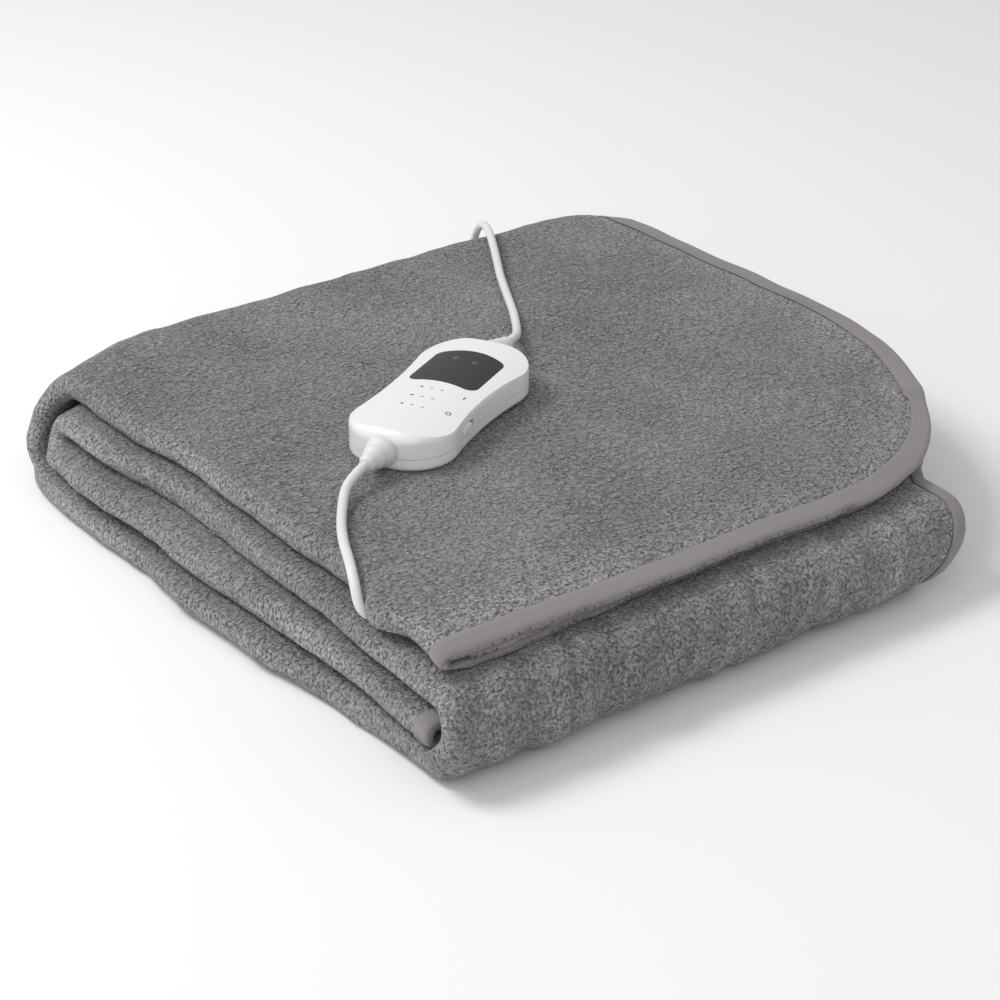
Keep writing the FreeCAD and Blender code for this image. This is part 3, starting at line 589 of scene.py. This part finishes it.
def back_recess(x):
    """How far the back folds lie in from the stack's full depth, across the stack."""
    left = 4 * smooth(60, -85, x) + 36 * smooth(-110, -236, x) ** 1.4
    right = 26 * smooth(196, 236, x) ** 2
    return 1.5 + left + right + 2.5 * stir(x * 0.02, 4.0, 2.0)


print("flap's flare at the front left, mm:", round(-left_wander(-215, TOP), 1))


# %% [markdown]
# ## How the top and the front lie
# The top sags and swells a little, shows the ridges of the wire's channels towards the
# back left, and is rumpled on the right. The heights grow from nothing at the floor. On
# the front fold the cloth is squeezed on its inside, so it creases: a noise along the
# width, sharpened to narrow valleys where it crosses nought, gives uneven creases. They
# move every ply of the strip together, so that no ply comes through another.
# %% Top and front
FRONT_START, FRONT_FULL = -150, -232
CREASE_DEPTH, CREASE_REST = 4.2, 0.2
CREASE_ABOVE, CREASE_REACH = -8.0, 40.0


def settle(x, y, z, droop):
    """Moves a point of the plain folded stack to where the cloth really lies."""
    x += smooth(0, -250, x) * left_wander(y, z)
    y -= back_recess(x) * smooth(-120, 172, y)
    height = (z / STACK_HEIGHT) ** 2
    wave = stir(x * 0.008, y * 0.011, 3.0 + z * 0.01)
    ridge = stir(x * 0.045, y * 0.006, 8.0) * smooth(-80, 120, y) * smooth(90, -60, x)
    rumple = stir(x * 0.02 + y * 0.012, y * 0.025, 5.0) * smooth(-20, 120, x)
    slump = -2.0 * smooth(-178, -232, x) * smooth(40, 150, y)
    z += (wave * 2.4 - 0.4 + ridge * 2.4 + rumple * 1.3 + slump) * height - droop
    if y < FRONT_START:
        pucker = stir(x * 0.03, 7.0, z * 0.012) + 0.5 * stir(x * 0.09, 3.0, z * 0.02)
        y += 2.6 * pucker * smooth(FRONT_START, FRONT_FULL, y)
    return Vector((x, y, z))


def crease(s, x):
    """From 0 to 1: how near a point is to one of the front fold's creases."""
    skew = 0.10 * (s - FRONT_BEND) * stir(x * 0.01, 2.0, 4.0)
    return hump(stir((x + skew) * 0.034, 6.0, 1.0), 0, 0.15)


def crease_offset(s, x):
    """How far the creases press the strip in, most where the front fold bends."""
    uneven = max(0.2, 0.5 + 0.8 * stir(x * 0.03, s * 0.012, 6.0))
    deep = CREASE_DEPTH * uneven * hump(s, FRONT_BEND + CREASE_ABOVE, CREASE_REACH)
    return -(CREASE_REST + deep) * crease(s, x)


print("deepest crease, mm:", round(min(crease_offset(FRONT_BEND, x) for x in range(-190, 200)), 1))


# %% [markdown]
# ## From the flat throw to the stack
# `cloth` takes a place on the flat throw and a depth from its middle surface, and gives
# the place in the stack. The letter fold gives the place across and the ply's height in
# the strip, and the winding carries that strip along. A last few sizes round the flap's
# corner, tuck its under plies back from the front edge, and let the edge droop.
# %% Cloth
TUCK, TUCK_LENGTH = 6.5, 70.0
EDGE_DROOP, DROOP_LENGTH = 3.0, 36.0


def round_flap_corner(x, s):
    """Slides a point of the flap's front right part in to a quarter of an ellipse."""
    p, q = 1 - (RIGHT - x) / FLAP_WIDE, 1 - s / FLAP_DEEP
    reach = max(p, q) / max(math.hypot(p, q), 1e-6)
    return RIGHT - FLAP_WIDE + p * reach * FLAP_WIDE, FLAP_Y + FLAP_DEEP - q * reach * FLAP_DEEP


def cloth(s, t, depth):
    """Place in the stack of a point `depth` outside the throw's middle surface."""
    (x, n), (out_x, out_n) = LETTER.at(t)
    (y, mid), (out_y, out_z) = WINDING.at(s)
    on_flap = s < BACK_Y - FLAP_Y
    if on_flap and RIGHT - x < FLAP_WIDE and s < FLAP_DEEP:
        x, y = round_flap_corner(x, s)
    elif not on_flap:
        x -= right_inset(y) * max(0.0, (x + 100) / (RIGHT + 100))
    offset = n + depth * out_n + crease_offset(s, x)
    under_ply = smooth(PITCH * 0.7, PITCH * 0.2, n) * smooth(LEFT + 30, LEFT + 130, x)
    y += offset * out_y + TUCK * under_ply * max(0.0, 1 - s / TUCK_LENGTH)
    near_edge = max(0.0, 1 - s / DROOP_LENGTH)
    droop = (EDGE_DROOP + offset * 0.35) * near_edge * near_edge
    return settle(x + depth * out_x + LEAN * (mid - TOP), y, mid + offset * out_z, droop) * MM


print("height at the middle of the top, m:", round(cloth(220, 210, PLY / 2).z, 4))


# %% [markdown]
# ## The fleece
# Two panels of fleece lie back to back and are sewn at the edge, so from outside they
# are one thick skin. It starts as two flat grids, one over the other, and Bridge Loops
# closes the rim. Then every vertex is laid with `cloth`. The skin is pressed thin where
# the tape grips it. Each vertex also gets a painted light value: painted highlight beside
# the tape, on the side folds and in streaks on the front fold, random paler patches, and painted shade in
# the creases.
# %% Fleece
HALF = PLY / 2
TAPE_WIDTH = 12.0
GRIPPED = 0.45                          # thickness under the tape, as a share


def edge_distance(s, t):
    return min(s, WINDING.length - s, t, LETTER.length - t)


def fleece_depth(s, t, side):
    free = smooth(TAPE_WIDTH - 2.5, TAPE_WIDTH + 3.5, edge_distance(s, t))
    uneven = 0.6 * free * stir(s * 0.07, t * 0.07, side * 5.0)
    return side * (HALF * (GRIPPED + (1 - GRIPPED) * free) + uneven)


def painted_light_level(s, t):
    """From 0 to 1: the painted highlight at a point, less the painted shade in the creases."""
    (x, _), (out_x, _) = LETTER.at(t)
    # painted highlight beside the tape, on the left-facing side folds towards the key light and in
    # streaks on the front fold; the patches are random tone
    beside_tape = 0.45 * hump(edge_distance(s, t), TAPE_WIDTH, 18)
    fold = 0.5 * max(0.0, -out_x)
    streaks = 0.5 + 0.8 * stir(s * 0.018, t * 0.09, 7.0)
    front = 0.55 * hump(s, FRONT_BEND, 60) * streaks * 1.3
    patches = 0.5 + 0.9 * stir(s * 0.012, t * 0.02, 3.0)
    highlight_amount = min(1.0, max(0.0, (beside_tape + fold + front) * (0.4 + patches) + 0.25 * patches))
    # painted shade: the front fold's creases take away up to nine tenths of the painted highlight
    return highlight_amount * (1 - 0.9 * crease(s, x) * hump(s, FRONT_BEND, 45))


def make_fleece():
    mesh = bmesh.new()
    columns, rows = len(LETTER.stations) - 1, len(WINDING.stations) - 1
    for level in (0.5, -0.5):
        bmesh.ops.create_grid(mesh, x_segments=columns, y_segments=rows, size=0.5,
                              matrix=Matrix.Translation((0, 0, level)))
    bmesh.ops.bridge_loops(mesh, edges=[e for e in mesh.edges if e.is_boundary])
    painted_light = mesh.verts.layers.float.new("painted_light")
    for vert in mesh.verts:
        s = WINDING.stations[round((vert.co.y + 0.5) * rows)]
        t = LETTER.stations[round((vert.co.x + 0.5) * columns)]
        side = 1 if vert.co.z > 0 else -1
        # each vertex stores its painted highlight and shade
        vert[painted_light] = painted_light_level(s, t)
        vert.co = cloth(s, t, fleece_depth(s, t, side))
    return finish_mesh("fleece_sheet", mesh, "fleece")


fleece = make_fleece()
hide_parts("face_fleece", "back_fleece")

# %% [markdown]
# ## The edge tape
# The tape wraps round all four edges like a flat hook, and follows them through every
# fold. It is a grid again: one direction goes round the tape's section, the other along
# the throw's outline. Both ends of each direction meet, so merging doubles closes it
# into a tube. The UV map is written before that, while each corner still knows how far
# along the tape it is.
# %% Tape
TAPE_SECTION = [(12, 0.85), (11.3, 1.12), (8, 1.14), (4, 1.1), (1.4, 1.02), (-0.6, 0.70), (-1.2, 0.0),
                (-0.6, -0.70), (1.4, -1.02), (4, -1.1), (8, -1.14), (11.3, -1.12), (12, -0.85), (6, 0.0)]
SECTION_STEP = 3.0                      # width of one step of the section in the UV map


def outline():
    """The sheet's outline, each point with its place on the outline a tape's width inside."""
    long, wide = WINDING.length, LETTER.length
    loop = [(0.0, t) for t in LETTER.stations[:-1]]
    loop += [(s, wide) for s in WINDING.stations[:-1]]
    loop += [(long, t) for t in LETTER.stations[:0:-1]]
    loop += [(s, 0.0) for s in WINDING.stations[:0:-1]]

    def within(value, size):
        return TAPE_WIDTH + value * (size - 2 * TAPE_WIDTH) / size

    return [(edge, (within(edge[0], long), within(edge[1], wide))) for edge in loop]


def lengths_along(loop):
    """Length along the outline at each of its points, back to the first."""
    places = [cloth(s, t, HALF) for (s, t), _ in loop + loop[:1]]
    lengths = [0.0]
    for before, here in zip(places, places[1:]):
        lengths.append(lengths[-1] + (here - before).length)
    return lengths


def make_tape():
    mesh = bmesh.new()
    loop, size = outline(), len(TAPE_SECTION)
    count = len(loop)
    bmesh.ops.create_grid(mesh, x_segments=size, y_segments=count, size=0.5)
    cell = {v: (round((v.co.x + 0.5) * size), round((v.co.y + 0.5) * count)) for v in mesh.verts}
    for vert, (k, i) in cell.items():
        (s, t), (s_in, t_in) = loop[i % count]
        inset, depth = TAPE_SECTION[k % size]
        share = inset / TAPE_WIDTH
        vert.co = cloth(s + (s_in - s) * share, t + (t_in - t) * share, depth * HALF)
    layer = mesh.loops.layers.uv.new("UVMap")
    lengths = lengths_along(loop)
    for face in mesh.faces:
        for corner in face.loops:
            k, i = cell[corner.vert]
            corner[layer].uv = (lengths[i] / MM, k * SECTION_STEP)
    bmesh.ops.remove_doubles(mesh, verts=mesh.verts, dist=1e-7)
    return finish_mesh("tape_band", mesh, "tape")


tape = make_tape()
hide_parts("edge_tape")

# %% [markdown]
# ## The heating wire
# The wire lies between the panels and never shows. It is one thin curve up and down the
# throw's length, laid by the same `cloth`, so it stays inside the sheet wherever that
# settles. Its points follow the mesh's own rows, so here straight steps are right.
# %% Heating wire
WIRE_COLUMNS = (92, 262, 590, 755, 920, 1090)
WIRE_INSET, CROSSING_STEPS = 140.0, 24
WIRE_RADIUS = 0.7


def wire_places():
    run = [s for s in WINDING.stations if WIRE_INSET < s < WINDING.length - WIRE_INSET]
    places = []
    for i, t in enumerate(WIRE_COLUMNS):
        places += [(s, t) for s in (run if i % 2 == 0 else run[::-1])]
        if i + 1 < len(WIRE_COLUMNS):
            end, across = places[-1][0], WIRE_COLUMNS[i + 1] - t
            places += [(end, t + across * k / CROSSING_STEPS) for k in range(1, CROSSING_STEPS)]
    return places


def make_wire():
    places = wire_places()
    data = bpy.data.curves.new("wire_run", "CURVE")
    data.dimensions = "3D"
    data.bevel_depth = WIRE_RADIUS * MM
    data.bevel_resolution = 1
    spline = data.splines.new("POLY")
    spline.points.add(len(places) - 1)
    for point, (s, t) in zip(spline.points, places):
        point.co = (*cloth(s, t, 0.0), 1)
    return add_piece("wire_run", data, "wire")


wire = make_wire()
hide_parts("heating_wire")
print("wire points:", len(wire_places()))

# %% [markdown]
# ## Printed marks
# Pad printing is a film of ink on the shell. Here each mark is a thin plate that stands
# on the crowned top and sinks a little into it, so it has no gap at any angle. Bars come
# from a cube, pointers from a three-sided cone, and rings from a small square that is
# spun. They are drawn flat with two levels, then laid on the crown.
# %% Printed marks
CROWN_TOP, CROWN_RADIUS = 22.8, 105.0
INK_RISE, INK_DEPTH = 0.05, 0.3
BUTTONS = (-8, -20, -32)
RING_STEPS = 20


def crown(v):
    """Height of the controller's top at `v` from its middle line."""
    return CROWN_TOP - CROWN_RADIUS + math.sqrt(CROWN_RADIUS ** 2 - v * v)


def add_bar(mesh, u, v, long, wide):
    place = Matrix.Translation((u, v, 0)) @ Matrix.Diagonal((long, wide, 1, 1))
    bmesh.ops.create_cube(mesh, size=1.0, matrix=place)


def add_pointer(mesh, u, v, wide, high):
    radius = wide / math.sqrt(3)
    stretch = Matrix.Diagonal((1, high / (1.5 * radius), 1, 1))
    place = Matrix.Translation((u, v + high / 3, 0)) @ stretch
    bmesh.ops.create_cone(mesh, segments=3, radius1=radius, radius2=radius, depth=1.0,
                          cap_ends=True, matrix=place)


def add_ring(mesh, u, v, radius, wide):
    corners = [(radius, 0.5), (radius, -0.5), (radius - wide, -0.5), (radius - wide, 0.5)]
    verts = [mesh.verts.new((u + r, v, level)) for r, level in corners]
    edges = [mesh.edges.new((a, b)) for a, b in zip(verts, verts[1:] + verts[:1])]
    bmesh.ops.spin(mesh, geom=verts + edges, cent=(u, v, 0), axis=(0, 0, 1), angle=2 * math.pi,
                   steps=RING_STEPS, use_merge=True, use_duplicate=False)


def print_on_top(name, mesh, slot):
    for vert in mesh.verts:
        u, v, level = vert.co
        lift = INK_RISE if level > 0 else -INK_DEPTH
        vert.co = on_controller(u, v, crown(v) + lift) * MM
    return finish_mesh(name, mesh, slot)


def make_switch_marks():
    """A bar and a ring for the slider's two places, and a bar and pointer for each button."""
    mesh = bmesh.new()
    add_bar(mesh, -9, -20, 3.4, 0.7)
    add_ring(mesh, -30, -20.5, 1.7, 0.6)
    for u in BUTTONS:
        add_bar(mesh, u, -2.5, 0.7, 8.0)
        add_pointer(mesh, u, 6.2, 2.2, 2.2)
    return print_on_top("switch_marks", mesh, "ink")


def make_display_marks():
    mesh = bmesh.new()
    add_ring(mesh, 35, 7, 1.6, 0.5)
    add_ring(mesh, 33, -6, 1.6, 0.5)
    add_bar(mesh, 35, 7, 0.5, 1.6)
    return print_on_top("display_marks", mesh, "lamp")


make_switch_marks()
make_display_marks()

# %% [markdown]
# ## Floor and light
# Soft goods need soft light, or every tuft throws a hard shadow. One large lamp stands
# high at the back left and rakes over the folds, a weaker one fills the front, and a
# white world lifts the rest. The floor is pale and matt.
# %% Floor and light
FLOOR_HALF = 6.0
FLOOR_COLOUR = (0.93, 0.93, 0.93, 1)
WORLD_STRENGTH = 0.55
SKY = (1, 1, 1, 1)


def make_floor():
    mesh = bmesh.new()
    bmesh.ops.create_grid(mesh, x_segments=1, y_segments=1, size=FLOOR_HALF)
    data = bpy.data.meshes.new("floor")
    mesh.to_mesh(data)
    mesh.free()
    floor = bpy.data.objects.new("floor", data)
    bpy.context.scene.collection.objects.link(floor)
    m = Nodes("floor", Roughness=0.75, Base_Color=FLOOR_COLOUR)
    data.materials.append(m.material)


def area_light(name, place, size, power):
    data = bpy.data.lights.new(name, "AREA")
    data.size = size
    data.energy = power
    light = bpy.data.objects.new(name, data)
    bpy.context.scene.collection.objects.link(light)
    light.location = place
    light.rotation_euler = (-Vector(place)).to_track_quat("-Z", "Y").to_euler()


def make_world():
    world = bpy.data.worlds.new("world")
    world.use_nodes = True
    background = world.node_tree.nodes["Background"]
    background.inputs["Color"].default_value = SKY
    background.inputs["Strength"].default_value = WORLD_STRENGTH
    bpy.context.scene.world = world


make_floor()
area_light("key", (-1.0, 0.9, 1.7), 0.9, 26)
area_light("fill", (-1.4, -1.5, 1.2), 1.6, 9)
make_world()
bpy.context.scene.view_settings.view_transform = "Standard"
print("floor, two lights and the world are in place")
